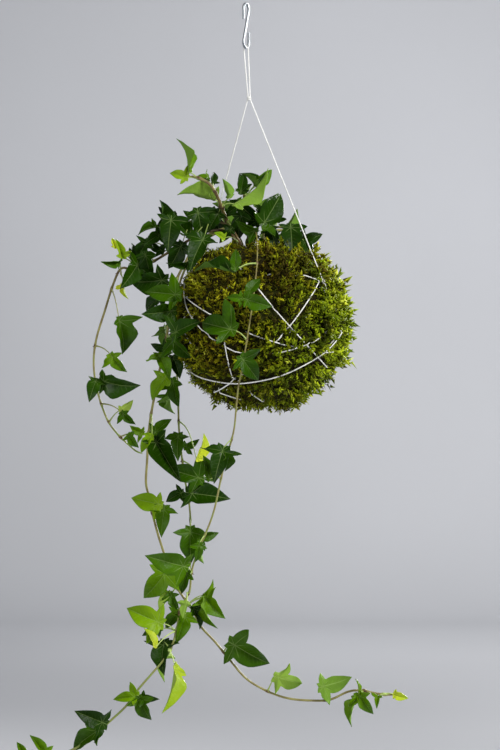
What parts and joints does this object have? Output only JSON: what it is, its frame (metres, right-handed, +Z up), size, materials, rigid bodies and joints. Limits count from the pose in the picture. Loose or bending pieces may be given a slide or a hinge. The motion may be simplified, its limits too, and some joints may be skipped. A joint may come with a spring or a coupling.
{
  "type": "hanging kokedama plant",
  "caption": "Ivy rooted in a soil ball wrapped in moss and bound with white thread, hung on a cotton cord from a bent-wire S-hook, with long leafy trails falling below it.",
  "frame": {"origin": "the hanging point, at the inside of the top bend of the S-hook", "axes": "+Z up along the line that the plant hangs on, front towards -Y, +X to the right as seen from the front"},
  "size_m": [0.3604, 0.2067, 0.6914],
  "materials": {
    "hook_steel": "galvanised wire, dull shine",
    "cotton": "twisted white cotton, matte",
    "moss": "live moss, matte, yellow-green tips over olive and brown depths",
    "soil": "damp dark potting soil, matte",
    "ivy": "waxy green leaves with paler veins, on green to brown stems"
  },
  "bodies": {
    "root": {"s_hook": "hook_steel", "hanging_cord": "cotton", "binding_thread": "cotton", "moss_cover": "moss", "soil_ball": "soil", "ivy_trail_left": "ivy", "ivy_trail_long": "ivy", "ivy_trail_middle": "ivy", "ivy_trail_front": "ivy", "ivy_spray_top": "ivy", "ivy_spray_centre": "ivy", "ivy_spray_right": "ivy", "ivy_spray_left": "ivy", "ivy_spray_back": "ivy", "ivy_spray_back_right": "ivy"}
  },
  "joints": []
}
